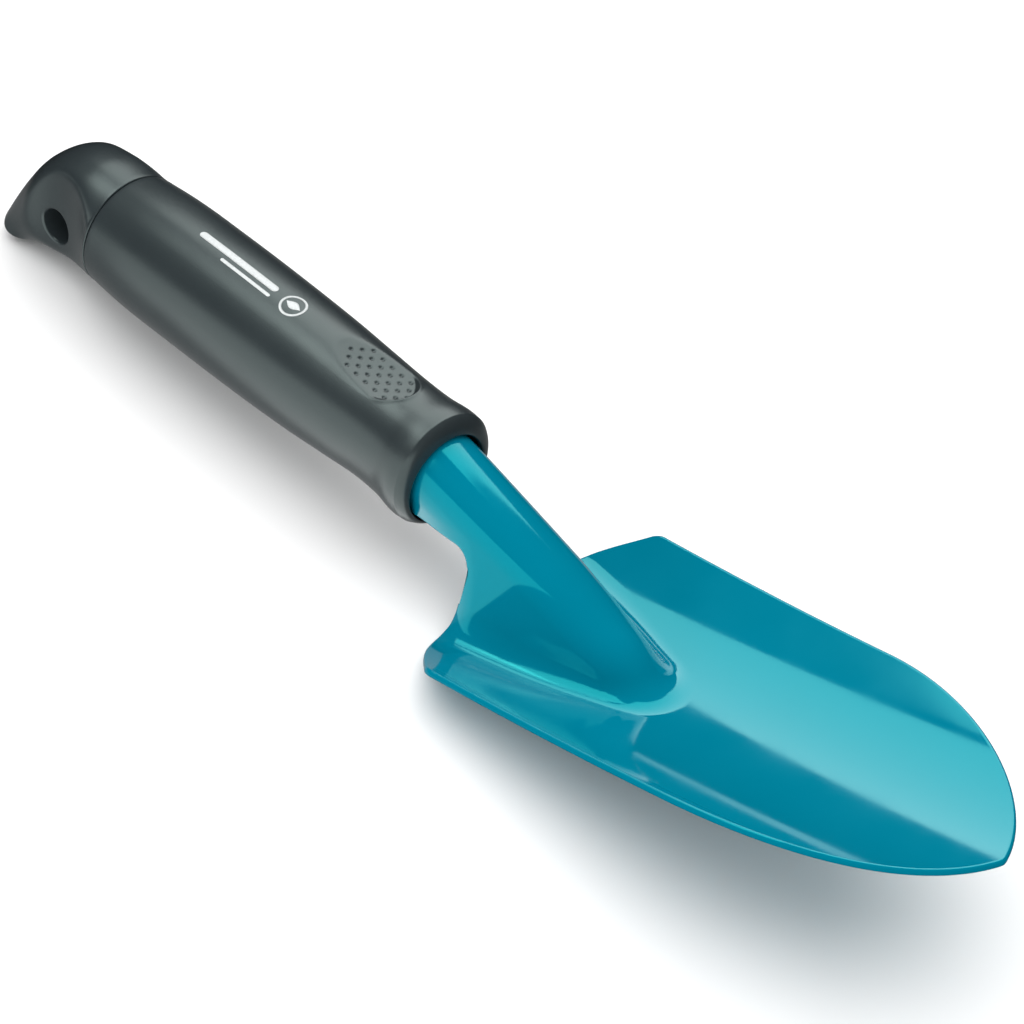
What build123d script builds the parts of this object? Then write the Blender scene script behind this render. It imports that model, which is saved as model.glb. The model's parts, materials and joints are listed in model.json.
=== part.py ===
from build123d import *
from math import atan2, cos, hypot, pi, radians, sin, sqrt, tan
import os

# Hand trowel: one pressed steel scoop whose neck runs back as a tang into a two-part handle.
# Lengths are in millimetres, angles in degrees.
#
# Two frames are used while building:
#   tool frame    X towards the tip, Y to the left, Z up, origin in the trough at the rear of the blade
#   handle frame  A backwards along the handle from the front face, Y to the left, U up
# At the end everything is pitched so that the trowel lies on a table, and moved so that the
# origin is under the middle of its box.

# ---- scoop ----
SHEET = 1.8               # steel with its coat
BLADE_LENGTH = 154.0      # rear edge of the wings to the tip
BLADE_HALF_WIDTH = 41.0   # at the rear
SHOULDER_X = 82.5         # where the sides start to curve in
SHOULDER_HALF_WIDTH = 39.4
SIDE_PULL = 0.50          # how far the side runs straight on into the curve
TIP_PULL = 0.56           # the same at the tip
TIP_HALF_ANGLE = 68.8     # between the centre line and the rim at the tip
TROUGH_RADIUS = 74.0      # cross section of the blade
TROUGH_LIFT = 0.000385    # the blade rises towards the tip by this times x squared
WING_CORNER_X = 1.9       # where the line of the wing's rear edge meets the side
WING_CORNER_RADIUS = 5.0
WING_ROOT = (-14.6, 20.0)  # the wing's rear edge next to the neck
WING_EDGE_ANGLE = 39.0    # sweep of the rear edge at the corner

# ---- neck and ridge: an arch whose axis drops into the trough ----
NECK_RADIUS = 11.13
RIDGE_RADIUS = 11.2
NOSE_RADIUS = 10.0
BEND_X = -38.0            # where the axis leaves the handle's direction
BEND_SOFTNESS = 5.0
RIDGE_SLOPE = 0.50
NOSE_BEND_X = 30.0        # where the ridge drops to its nose
NOSE_BEND_SOFTNESS = 7.0
NOSE_SLOPE = 1.45
NECK_SPLAY = -8.0         # the walls lean in at the neck
WALL_SPLAY = 23.0         # and out over the blade
NOSE_SPLAY = 25.0
REAR_BLEND = 9.0          # size of the fillet between the walls and the trough
NOSE_BLEND = 5.5
# where along X each of these changes over to the next
NECK_TO_RIDGE = (-32.0, 8.0)
RIDGE_TO_NOSE = (5.0, 40.0)
SPLAY_OPENS = (-32.0, -8.0)
SPLAY_SETTLES = (0.0, 30.0)
BLEND_SHRINKS = (-14.0, 36.0)
THROAT_TOP = (-34.0, 26.2)   # lower edge of the neck wall at the collar
THROAT_CORNER = (-11.5, 24.6)
THROAT_FOOT = (-16.4, -8.0)
THROAT_RADIUS = 6.0
TANG_END_X = -86.0
# working values of the section search: half width of the arch's foot at the neck, rear and nose
FOOT_WIDTHS = (11.5, 22.5, 7.0)
FOOT_OPENS = (-30.0, -10.0)
FOOT_CLOSES = (-10.0, 42.0)
ARCH_STEPS = 60
WING_STEPS = 20
SECTION_POINTS = 36
SHEET_REACH = 46.0        # the sheet is pressed this wide, then trimmed
STATION_RUNS = ((8.0, 4), (2.5, 39), (7.0, 17))   # spacing and count along X, from the tang's end
TRIM_REACH = 80.0         # the trimming solids are taller and wider than the sheet
TANG_LEG = 1.5            # the tang's legs end this far below its axis
TANG_STEP_LENGTH = 4.0    # the leg's edge drops to the neck wall's over this length
TANG_WINDOW_RADIUS = 3.0  # two windows that the core's plastic fills
TANG_WINDOWS = (28.0, 42.0)
TRIM_X = -91.0            # the trimming outlines start behind the tang's end

# ---- handle ----
HANDLE_ANGLE = 10.77      # the handle rises towards its rear end
COLLAR = (-31.6, 35.8)    # the handle's axis at its front face, in the tool frame
NECK_DROP = 2.95          # the neck's centre lies below the handle's axis there
SEAM = 123.8              # where the end cap meets the grip
# distance back, radius, how far the section's centre lies below the axis
GRIP_SECTIONS = (
    (2.4, 15.9, 1.2),
    (5.0, 16.1, 1.2),
    (12.0, 15.3, 0.7),
    (20.0, 15.1, 0.3),
    (32.0, 15.7, 0.3),
    (48.0, 16.6, 0.3),
    (66.0, 17.1, 0.2),
    (92.0, 17.3, 0.0),
    (112.0, 17.1, 0.0),
    (SEAM, 16.3, 0.0),
)
COLLAR_FACE = 2.4         # depth of the rounded front face
COLLAR_FACE_RADIUS = 13.4
NECK_HOLE_RADIUS = 12.4
CORE_RADIUS = 12.9
CORE_DROP = 1.2           # the core's centre lies below the handle's axis, clear of the thumb pad
CORE_FRONT = 17.0
CORE_REAR = 122.0
TANG_GAP = 0.30           # room around the tang in the core
LEG_GAP = 1.0             # and under its legs
TANG_END_ROOM = 3.0       # and behind its end
SOCKET_RADIUS = 9.0       # the end cap plugs into the core
SOCKET_DEPTH = 16.0
PLUG_LENGTH = 14.0
PLUG_GAP = 0.05

# thumb pad: an oval dish cut by a large cylinder across the handle, with staggered dimples
PAD_CENTRE = 28.0
PAD_HALF_LENGTH = 13.5
PAD_HALF_WIDTH = 8.6
PAD_LOW = 18.0            # where the dish is deepest
PAD_FLOOR = 12.7          # its height there above the handle's axis
PAD_ARC = 85.0            # radius of the dish, seen from the side
DIMPLE_COLUMNS = (5, 6, 7, 6, 5)
DIMPLE_PITCH = 3.5
DIMPLE_COLUMN_PITCH = 2.27
DIMPLE_MIDDLE = 27.0
DIMPLE_RADIUS = 0.7

# ---- end cap: sections from the seam to the lip, as top and bottom points (A, U) and half width ----
CAP_SECTIONS = (
    ((0.0, 16.3), (0.0, -16.3), 16.3),
    ((11.0, 17.2), (6.5, -16.1), 17.4),
    ((20.9, 15.3), (12.9, -16.6), 17.0),
    ((29.6, 8.2), (18.5, -18.0), 14.7),
    ((36.6, -1.3), (23.8, -19.2), 12.1),
    ((42.2, -10.9), (28.6, -20.1), 10.9),
    ((45.6, -18.7), (33.3, -21.0), 11.4),
)
HANG_HOLE = (19.0, -5.7)
HANG_HOLE_RADIUS = 5.0
SCALLOP_WAIST = 9.8       # half width left at the hang hole
SCALLOP_RADIUS = 29.0
SCALLOP_A = 18.0

SEAT_OVERLAP = 0.01       # joins the neck hole to the bore behind it
OVERCUT = 1.0             # cutting solids reach this far past the face that they cut
REST_PITCH = 13.245       # tips the tool so that the wings and the lip stand on the table

SLOPE = tan(radians(HANDLE_ANGLE))
NECK_X = COLLAR[0] - NECK_DROP * sin(radians(HANDLE_ANGLE))
NECK_Z = COLLAR[1] - NECK_DROP * cos(radians(HANDLE_ANGLE))


# ---------------------------------------------------------------- scoop surface

def change(x, span):
    """0 before a span of X, 1 after it, and a smooth step between."""
    t = min(max((x - span[0]) / (span[1] - span[0]), 0.0), 1.0)
    return t * t * (3 - 2 * t)


def ramp(t, softness):
    """0 well before t = 0, t well after it, with a soft bend between."""
    return 0.5 * (t + hypot(t, softness))


def ramp_slope(t, softness):
    return 0.5 * (1 + t / hypot(t, softness))


def ridge_axis(x):
    """Height and slope of the arch's axis."""
    first = RIDGE_SLOPE - SLOPE
    second = NOSE_SLOPE - RIDGE_SLOPE
    bend = ramp(x - BEND_X, BEND_SOFTNESS) - ramp(NECK_X - BEND_X, BEND_SOFTNESS)
    nose = ramp(x - NOSE_BEND_X, NOSE_BEND_SOFTNESS) - ramp(NECK_X - NOSE_BEND_X, NOSE_BEND_SOFTNESS)
    height = NECK_Z - SLOPE * (x - NECK_X) - first * bend - second * nose
    slope = (-SLOPE - first * ramp_slope(x - BEND_X, BEND_SOFTNESS)
             - second * ramp_slope(x - NOSE_BEND_X, NOSE_BEND_SOFTNESS))
    return height, slope


def arch_radius(x):
    return (NECK_RADIUS + (RIDGE_RADIUS - NECK_RADIUS) * change(x, NECK_TO_RIDGE)
            + (NOSE_RADIUS - RIDGE_RADIUS) * change(x, RIDGE_TO_NOSE))


def wall_splay(x):
    return radians(NECK_SPLAY + (WALL_SPLAY - NECK_SPLAY) * change(x, SPLAY_OPENS)
                   + (NOSE_SPLAY - WALL_SPLAY) * change(x, SPLAY_SETTLES))


def trough_height(x, y):
    return TROUGH_LIFT * max(x, 0) ** 2 + TROUGH_RADIUS - sqrt(TROUGH_RADIUS ** 2 - y * y)


def above_sheet(x, y, z):
    """Signed distance to the sheet's upper face: the arch and the trough with a fillet between them."""
    axis_z, slope = ridge_axis(x)
    up = (z - axis_z) / hypot(1, slope)
    radius = arch_radius(x)
    splay = wall_splay(x)
    if atan2(up, y) > splay:
        arch = hypot(y, up) - radius
    else:
        arch = y * cos(splay) + up * sin(splay) - radius
    trough = (z - trough_height(x, y)) * sqrt(1 - (y / TROUGH_RADIUS) ** 2)
    blend = REAR_BLEND + (NOSE_BLEND - REAR_BLEND) * change(x, BLEND_SHRINKS)
    near = max(blend - abs(arch - trough), 0) / blend
    return min(arch, trough) - near * near * blend / 4


def sheet_normal(x, y, z, step=1e-3):
    """Gradient of above_sheet; it points up and out of the upper face."""
    return Vector(
        above_sheet(x + step, y, z) - above_sheet(x - step, y, z),
        above_sheet(x, y + step, z) - above_sheet(x, abs(y - step), z),
        above_sheet(x, y, z + step) - above_sheet(x, y, z - step),
    ) / (2 * step)


def settle(x, y, z, rounds):
    """Moves a point of a cross section onto the upper face."""
    centre = y == 0
    for _ in range(rounds):
        normal = sheet_normal(x, y, z)
        move = 0.8 * above_sheet(x, y, z) / max(normal.Y ** 2 + normal.Z ** 2, 0.2)
        y = 0 if centre else y - move * normal.Y
        z -= move * normal.Z
    return y, z


def rough_section(x):
    """Arch and wing as one line of (y, z) points on the upper face, from the centre out past the rim."""
    axis_z, slope = ridge_axis(x)
    top = max(axis_z + arch_radius(x) * hypot(1, slope), trough_height(x, 0))
    neck, rear, nose = FOOT_WIDTHS
    base = neck + (rear - neck) * change(x, FOOT_OPENS)
    base += (nose - base) * change(x, FOOT_CLOSES)
    foot = trough_height(x, base)
    arch = [pi / 2 * i / ARCH_STEPS for i in range(ARCH_STEPS + 1)]
    line = [(base * sin(turn), foot + (top - foot) * cos(turn)) for turn in arch]
    for i in range(1, WING_STEPS + 1):
        y = base + (SHEET_REACH - base) * i / WING_STEPS
        line.append((y, trough_height(x, y)))
    return [settle(x, y, z, 30) for y, z in line]


def sheet_section(x):
    """Evenly spaced points of the upper face at one station."""
    line = rough_section(x)
    run = [0.0]
    for (y0, z0), (y1, z1) in zip(line, line[1:]):
        run.append(run[-1] + hypot(y1 - y0, z1 - z0))
    points = []
    k = 0
    for i in range(SECTION_POINTS):
        goal = run[-1] * i / (SECTION_POINTS - 1)
        while k < len(line) - 2 and run[k + 1] < goal:
            k += 1
        t = (goal - run[k]) / (run[k + 1] - run[k])
        y = line[k][0] + t * (line[k + 1][0] - line[k][0])
        z = line[k][1] + t * (line[k + 1][1] - line[k][1])
        y, z = settle(x, y, z, 5)
        points.append(Vector(x, y, z))
    return points


def lower_point(p):
    """The point of the lower face under a point of the upper face, in the same cross section."""
    normal = sheet_normal(p.X, p.Y, p.Z)
    reach = SHEET * normal.length / (normal.Y ** 2 + normal.Z ** 2)
    return Vector(p.X, p.Y - reach * normal.Y, p.Z - reach * normal.Z)


def both_sides(points):
    """A half section and its mirror image, as one line from right to left."""
    return [Vector(p.X, -p.Y, p.Z) for p in reversed(points[1:])] + points


def pressed_sheet():
    stations = [TANG_END_X]
    for spacing, count in STATION_RUNS:
        stations += [stations[-1] + spacing * i for i in range(1, count + 1)]
    knots = [i / (2 * SECTION_POINTS - 2) for i in range(2 * SECTION_POINTS - 1)]
    rings = []
    for x in stations:
        half = sheet_section(x)
        upper = both_sides(half)
        lower = both_sides([lower_point(p) for p in half])
        rings.append(Wire([
            Edge.make_spline(upper, parameters=knots),
            Edge.make_line(upper[-1], lower[-1]),
            Edge.make_spline(lower, parameters=knots),
            Edge.make_line(lower[0], upper[0]),
        ]))
    return Solid.make_loft(rings)


# ---------------------------------------------------------------- scoop outline

def plan_outline():
    """The blade seen from above, closed behind the neck."""
    sweep = radians(WING_EDGE_ANGLE)
    shoulder = Vector(SHOULDER_X, SHOULDER_HALF_WIDTH)
    corner = Vector(WING_CORNER_X, BLADE_HALF_WIDTH)
    tip = Vector(BLADE_LENGTH, 0)
    along = (shoulder - corner).normalized()
    pull = SIDE_PULL * (BLADE_LENGTH - SHOULDER_X)
    tip_turn = radians(TIP_HALF_ANGLE)
    toward_side = Vector(-cos(tip_turn), sin(tip_turn)) * TIP_PULL * SHOULDER_HALF_WIDTH
    back = WING_CORNER_RADIUS * tan(sweep / 2)
    edge_dir = Vector(cos(sweep), sin(sweep))
    rear_start = corner - edge_dir * back
    side_start = corner + along * back
    half = [
        Line((TRIM_X, WING_ROOT[1]), WING_ROOT),
        Spline(WING_ROOT, rear_start, tangents=[(0, 1), tuple(edge_dir)[:2]]),
        Spline(rear_start, side_start, tangents=[tuple(edge_dir)[:2], tuple(along)[:2]]),
        Line(side_start, shoulder),
        Bezier(shoulder, shoulder + along * pull, tip + toward_side, tip),
    ]
    other = [edge.mirror(Plane.XZ) for edge in half]
    rear = Line((TRIM_X, WING_ROOT[1]), (TRIM_X, -WING_ROOT[1]))
    return make_face(Curve() + half + other + rear)


def throat_cutter():
    """Everything under the neck and behind the wings, seen from the side."""
    step_x = THROAT_TOP[0] - TANG_STEP_LENGTH
    outline = Polyline(
        (TRIM_X, ridge_axis(TRIM_X)[0] - TANG_LEG), (step_x, ridge_axis(step_x)[0] - TANG_LEG),
        THROAT_TOP, THROAT_CORNER, THROAT_FOOT, (TRIM_X, THROAT_FOOT[1]), close=True,
    )
    face = make_face(Plane.XZ * outline)
    solid = extrude(face, amount=TRIM_REACH, both=True)
    corner = solid.edges().filter_by(Axis.Y).sort_by_distance((THROAT_CORNER[0], 0, THROAT_CORNER[1]))[0]
    return fillet(corner, THROAT_RADIUS)


def handle_point(a, y=0.0, u=0.0):
    turn = radians(HANDLE_ANGLE)
    return Vector(COLLAR[0] - a * cos(turn) + u * sin(turn), y, COLLAR[1] + a * sin(turn) + u * cos(turn))


def handle_plane(a, u=0.0):
    """Cross-section plane of the handle, local X to the left, normal pointing back."""
    turn = radians(HANDLE_ANGLE)
    return Plane(handle_point(a, 0, u), x_dir=(0, 1, 0), z_dir=(-cos(turn), 0, sin(turn)))


def build_scoop():
    scoop = pressed_sheet() & extrude(plan_outline(), amount=TRIM_REACH, both=True)
    scoop = scoop - throat_cutter()
    for a in TANG_WINDOWS:
        scoop = scoop - radial_peg(a, TANG_WINDOW_RADIUS)
    return scoop


# ---------------------------------------------------------------- handle

def radial_peg(a, radius):
    """A round bar standing up from the handle's axis."""
    turn = radians(HANDLE_ANGLE)
    return Plane(handle_point(a), z_dir=(sin(turn), 0, cos(turn))) * Cylinder(
        radius, CORE_RADIUS, align=(Align.CENTER, Align.CENTER, Align.MIN))


def bar(front, rear, radius, drop=0.0):
    """A round bar along the handle."""
    return handle_plane(front, -drop) * Cylinder(
        radius, rear - front, align=(Align.CENTER, Align.CENTER, Align.MIN))


def tang_drop():
    """How far the tang's axis lies below the handle's axis, inside the handle."""
    x = TANG_END_X
    handle_z = COLLAR[1] - SLOPE * (x - COLLAR[0])
    return (handle_z - ridge_axis(x)[0]) * cos(radians(HANDLE_ANGLE))


def tang_slot():
    """The curved slot in the core that the tang pushes into, with pegs left through its windows."""
    drop = tang_drop()
    rear = (COLLAR[0] - TANG_END_X) / cos(radians(HANDLE_ANGLE)) + TANG_END_ROOM
    front = CORE_FRONT - OVERCUT
    outer = bar(front, rear, NECK_RADIUS + TANG_GAP, drop)
    inner = bar(front, rear, NECK_RADIUS - SHEET - TANG_GAP, drop)
    lower_half = handle_plane(front - OVERCUT, -drop - TANG_LEG - LEG_GAP) * Box(
        TRIM_REACH, TRIM_REACH, rear, align=(Align.CENTER, Align.MIN, Align.MIN))
    slot = outer - inner - lower_half
    for a in TANG_WINDOWS:
        slot = slot - radial_peg(a, TANG_WINDOW_RADIUS - TANG_GAP)
    return slot


def build_core():
    core = bar(CORE_FRONT, CORE_REAR, CORE_RADIUS, CORE_DROP)
    core = core - tang_slot()
    return core - bar(CORE_REAR - SOCKET_DEPTH, CORE_REAR + OVERCUT, SOCKET_RADIUS)


def thumb_pad():
    """The solid taken off the top of the grip: a dished oval and its dimples."""
    turn = radians(HANDLE_ANGLE)
    upright = (sin(turn), 0, cos(turn))
    oval = Plane(handle_point(PAD_CENTRE), x_dir=(-cos(turn), 0, sin(turn)), z_dir=upright) * extrude(
        Ellipse(PAD_HALF_LENGTH, PAD_HALF_WIDTH), amount=PAD_ARC)
    dish = Plane(handle_point(PAD_LOW, 0, PAD_FLOOR + PAD_ARC), z_dir=(0, 1, 0)) * Cylinder(
        PAD_ARC, 4 * PAD_HALF_WIDTH)
    pad = oval & dish
    for column, count in enumerate(DIMPLE_COLUMNS):
        y = (column - (len(DIMPLE_COLUMNS) - 1) / 2) * DIMPLE_COLUMN_PITCH
        for i in range(count):
            a = DIMPLE_MIDDLE + (i - (count - 1) / 2) * DIMPLE_PITCH
            floor = PAD_FLOOR + PAD_ARC - sqrt(PAD_ARC ** 2 - (a - PAD_LOW) ** 2)
            pad = pad + Pos(handle_point(a, y, floor)) * Sphere(DIMPLE_RADIUS)
    return pad


def build_grip():
    wires = []
    for a, radius, drop in GRIP_SECTIONS:
        wires.append(Wire.make_circle(radius, handle_plane(a, -drop)))
    grip = Solid.make_loft(wires)
    front_radius, front_drop = GRIP_SECTIONS[0][1:]
    face = handle_plane(0, -front_drop) * Cone(
        COLLAR_FACE_RADIUS, front_radius, COLLAR_FACE, align=(Align.CENTER, Align.CENTER, Align.MIN))
    grip = grip + face
    hole_ends = ((-OVERCUT, NECK_DROP), (CORE_FRONT + SEAT_OVERLAP, tang_drop()))
    hole = Solid.make_loft([
        Wire.make_circle(NECK_HOLE_RADIUS, handle_plane(a, -drop)) for a, drop in hole_ends
    ])
    grip = grip - hole
    grip = grip - bar(CORE_FRONT, SEAM + OVERCUT, CORE_RADIUS, CORE_DROP)
    return grip - thumb_pad()


def build_cap():
    wires = []
    for (top_a, top_u), (low_a, low_u), half_width in CAP_SECTIONS:
        centre = handle_point(SEAM + (top_a + low_a) / 2, 0, (top_u + low_u) / 2)
        up = handle_point(top_a, 0, top_u) - handle_point(low_a, 0, low_u)
        plane = Plane(centre, x_dir=(0, 1, 0), z_dir=Vector(0, 1, 0).cross(up))
        wires.append(Wire.make_ellipse(half_width, up.length / 2, plane))
    cap = Solid.make_loft(wires)
    turn = radians(HANDLE_ANGLE)
    upright = (sin(turn), 0, cos(turn))
    for side in (-1, 1):
        y = side * (SCALLOP_WAIST + SCALLOP_RADIUS)
        side_cut = Plane(handle_point(SEAM + SCALLOP_A, y, 0), z_dir=upright)
        cap = cap - side_cut * Cylinder(SCALLOP_RADIUS, TRIM_REACH)
    cap = cap - Plane(handle_point(SEAM + HANG_HOLE[0], 0, HANG_HOLE[1]), z_dir=(0, 1, 0)) * Cylinder(
        HANG_HOLE_RADIUS, TRIM_REACH)
    return cap + bar(CORE_REAR - PLUG_LENGTH, SEAM + OVERCUT, SOCKET_RADIUS - PLUG_GAP)


# ---------------------------------------------------------------- resting pose and output

def rested(solid, lift=(0, 0, 0)):
    """A piece of the tool pitched nose up into its resting pose."""
    return Pos(*lift) * (Rot(0, -REST_PITCH, 0) * solid)


def main():
    pieces = {
        "scoop": build_scoop(),
        "handle_core": build_core(),
        "grip_sleeve": build_grip(),
        "end_cap": build_cap(),
    }
    boxes = {name: rested(piece).bounding_box(optimal=True) for name, piece in pieces.items()}
    low = [min(box.min.X for box in boxes.values()), 0, min(box.min.Z for box in boxes.values())]
    high = max(box.max.X for box in boxes.values())
    lift = (-(low[0] + high) / 2, 0, -low[2])
    print("lift", lift)
    for name, box in boxes.items():
        print(name, "lowest", round(box.min.Z - low[2], 3))
    hole = rested(Vertex(*handle_point(SEAM + HANG_HOLE[0], 0, HANG_HOLE[1])), lift)
    print("hang hole at", hole.center())
    os.makedirs("parts", exist_ok=True)
    for name, piece in pieces.items():
        export_step(rested(piece, lift), f"parts/{name}.step")


if __name__ == "__main__":
    main()
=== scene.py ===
import json
import math
from math import cos, pi, radians, sin, tan

import bpy
import numpy as np
from mathutils import Matrix, Vector


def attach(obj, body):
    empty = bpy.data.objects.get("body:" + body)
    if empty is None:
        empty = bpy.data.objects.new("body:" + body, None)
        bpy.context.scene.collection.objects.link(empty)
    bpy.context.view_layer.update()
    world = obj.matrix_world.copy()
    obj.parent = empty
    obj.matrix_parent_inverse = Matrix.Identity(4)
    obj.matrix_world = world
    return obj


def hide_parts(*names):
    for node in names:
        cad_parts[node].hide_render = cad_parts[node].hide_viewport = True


# Hand trowel: the finished scoop, grip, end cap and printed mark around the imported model.
# Shapes are worked out in millimetres in two frames and then placed in the row frame in metres:
#   tool frame    X towards the tip, Y to the left, Z up, origin in the trough at the rear of the blade
#   handle frame  A backwards along the handle from the front face, Y to the left, U up

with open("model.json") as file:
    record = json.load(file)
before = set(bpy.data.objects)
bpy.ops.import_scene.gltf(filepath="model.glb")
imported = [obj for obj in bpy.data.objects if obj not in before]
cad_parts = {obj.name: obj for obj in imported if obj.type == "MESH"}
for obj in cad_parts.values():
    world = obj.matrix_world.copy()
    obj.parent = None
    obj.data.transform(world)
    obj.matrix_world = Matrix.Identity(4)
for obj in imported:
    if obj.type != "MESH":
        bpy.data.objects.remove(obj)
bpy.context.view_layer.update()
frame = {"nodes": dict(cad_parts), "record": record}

MM = 0.001
REST_PITCH = radians(13.245)   # the tool frame is pitched nose up by this in the row frame

# ---- handle's place ----
HANDLE_ANGLE = radians(10.77)
COLLAR = (-31.6, 35.8)         # the front face's centre, seen from the side
NECK_DROP = 2.95               # the neck's axis lies below the handle's by this
SLOPE = tan(HANDLE_ANGLE)
NECK_X = COLLAR[0] - NECK_DROP * sin(HANDLE_ANGLE)
NECK_Z = COLLAR[1] - NECK_DROP * cos(HANDLE_ANGLE)

# ---- blade ----
SHEET = 1.8
BLADE_LENGTH = 154.0
BLADE_HALF_WIDTH = 41.0
SHOULDER_X = 82.5
SHOULDER_HALF_WIDTH = 39.4
SIDE_PULL = 0.50
TIP_PULL = 0.56
TIP_HALF_ANGLE = radians(68.8)
TIP_RADIUS = 3.0
TROUGH_RADIUS = 74.0
TROUGH_LIFT = 0.000385         # the trough rises by this times X squared
WING_CORNER_X = 1.9
WING_CORNER_RADIUS = 5.0
WING_ROOT = (-14.6, 20.0)
WING_EDGE_ANGLE = radians(39.0)

# ---- ridge: an arch from the neck to its nose in the trough ----
NECK_RADIUS = 11.13
RIDGE_RADIUS = 11.2
NOSE_RADIUS = 10.0
NECK_TO_RIDGE = (-32.0, 40.0)  # where a change along X starts, and how long it is
RIDGE_TO_NOSE = (5.0, 35.0)
BEND_X = -38.0
BEND_SOFTNESS = 5.0
RIDGE_SLOPE = 0.50
NOSE_BEND_X = 30.0
NOSE_BEND_SOFTNESS = 7.0
NOSE_SLOPE = 1.45
NECK_SPLAY = -8.0              # how far the arch's walls lean out, in degrees
WALL_SPLAY = 23.0
NOSE_SPLAY = 25.0
WALL_FLARE = (-32.0, 24.0)
NOSE_FLARE = (0.0, 30.0)
REAR_BLEND = 9.0               # width of the fillet between the arch and the trough
NOSE_BLEND = 5.5
BLEND_CHANGE = (-14.0, 50.0)

# ---- free edge under the neck, and the rim ----
THROAT_TOP = (-34.0, 26.2)
THROAT_CORNER = (-11.5, 24.6)
THROAT_FOOT = (-16.4, -8.0)
THROAT_LOW = 6.0               # the throat's line stops at this height, in the wing
THROAT_RADIUS = 6.0
TANG_END_X = -86.0
TANG_FRONT_X = -38.0
TANG_LEG = 1.5                 # the tang's edge lies below its axis by this
SHEET_REACH = 46.0
RIM_ROUND = 0.8                # how far the rim's rounding reaches in from the edge
RIM_EXPONENT = 2.6             # 2 is a round edge, more is squarer
RIM_LEAN = 0.75 * SHEET / TROUGH_RADIUS   # the lower face reaches further out, so the upper is cut back
RIM_STEPS = 7
SCOOP_COLUMNS = 56             # from the centre line to the rim
FOLD_X = THROAT_CORNER[0] - 3.0   # where lines across start for the throat's corner, wing and side
WING_X = -2.0
SIDE_X = 9.0

# ---- grip ----
SEAM = 123.8
SEAM_GAP = 0.15                # half the width of the groove between the grip and the cap
SEAM_DEPTH = 2.5
EDGE_ROUND = 0.35
EDGE_STEPS = 5
# distance back, radius, how far the section's centre lies below the axis
GRIP_SECTIONS = (
    (2.4, 15.9, 1.2),
    (5.0, 16.1, 1.2),
    (12.0, 15.3, 0.7),
    (20.0, 15.1, 0.3),
    (32.0, 15.7, 0.3),
    (48.0, 16.6, 0.3),
    (66.0, 17.1, 0.2),
    (92.0, 17.3, 0.0),
    (112.0, 17.1, 0.0),
    (SEAM, 16.3, 0.0),
)
GRIP_STEPS = ((3.2, 0), (10, 0.8), (13, 0.5), (44, 0.25))   # ring spacing up to each distance back
GRIP_REAR_STEP = 1.2
COLLAR_FACE = 2.4
COLLAR_LIP = 12.9              # inner radius of the front face
FACE_ARC = radians(62)         # how much of a quarter turn the front face takes
FACE_DROP_POWER = 1.5          # how the face's centre moves from the hole's to the grip's
CREASE_BACK = 0.15             # the face ends this far before the side, and this far inside it
CREASE_INSIDE = 0.12
CREASE_RINGS = ((0.05, 0.02), (0.35, 0.03))   # past the face, and outside the first section
NECK_HOLE_RADIUS = 12.4
NECK_HOLE_DEPTH = 15.0
NECK_HOLE_FRONT = 1.6
NECK_HOLE_DROP = NECK_DROP + 0.2
NECK_HOLE_RISE = 0.03          # the hole's centre rises by this for each millimetre back
LIP_LENGTH = 1.2               # rounding from the hole to the face
LIP_WIDTH = 0.5
LIP_RISE = 0.35

# ---- thumb pad ----
PAD_CENTRE = 28.0
PAD_LOW = 18.0                 # where the dished floor is lowest
PAD_FLOOR = 12.7               # height of the floor there, above the handle's axis
PAD_ARC = 85.0                 # radius of the dished floor, seen from the side
PAD_CROSS_ARC = 80.0           # and seen from the front
PAD_HALF_LENGTH = 13.5
PAD_HALF_WIDTH = 8.6
PAD_SOFTNESS = 0.35
PAD_WALL = 0.11                # share of the half width that its wall takes
PAD_REAR_END = PAD_CENTRE + PAD_HALF_LENGTH + 4.0
PAD_REAR_FADE = 6.0
PAD_LIP = 0.22                 # raised lip round the front
PAD_LIP_WIDTH = 0.06
PAD_LIP_END = PAD_CENTRE - 6.0
PAD_LIP_FADE = 5.0
PAD_LEAST_HEIGHT = 5.0         # below this the grip has no pad
PAD_COLUMNS = 33.0             # degrees to each side of the top where the mesh is finer
DIMPLE_COLUMNS = (5, 6, 7, 6, 5)
DIMPLE_PITCH = 3.5
DIMPLE_COLUMN_PITCH = 2.27
DIMPLE_MIDDLE = 27.0
DIMPLE_RADIUS = 0.85
DIMPLE_DEPTH = 0.32

# ---- end cap: sections from the seam to the lip, as top and bottom points (A, U) and half width ----
CAP_SECTIONS = (
    ((0.0, 16.3), (0.0, -16.3), 16.3),
    ((11.0, 17.2), (6.5, -16.1), 17.4),
    ((20.9, 15.3), (12.9, -16.6), 17.0),
    ((29.6, 8.2), (18.5, -18.0), 14.7),
    ((36.6, -1.3), (23.8, -19.2), 12.1),
    ((42.2, -10.9), (28.6, -20.1), 10.9),
    ((45.6, -18.7), (33.3, -21.0), 11.4),
)
CAP_START = 0.012              # share of the sections at the first row, past the seam's rounded edge
CAP_CLOSE = 0.93               # from this share of the sections on, the lip rounds off
CAP_CLOSE_POWER = 2.4
CAP_ROWS = 76
CAP_LIP_ROWS = 14
CAP_COLUMNS = 168
HANG_HOLE = (19.0, -5.7)
HANG_HOLE_RADIUS = 5.0
HOLE_ROUND = 0.7
HOLE_ROUND_STEPS = 6
HOLE_MARGIN = 0.6              # the skin's grid is opened this far round the hole's rim
HOLE_RINGS = 7
SCALLOP_WAIST = 9.8
SCALLOP_RADIUS = 29.0
SCALLOP_A = 18.0
SCALLOP_SOFTNESS = 1.6

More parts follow.
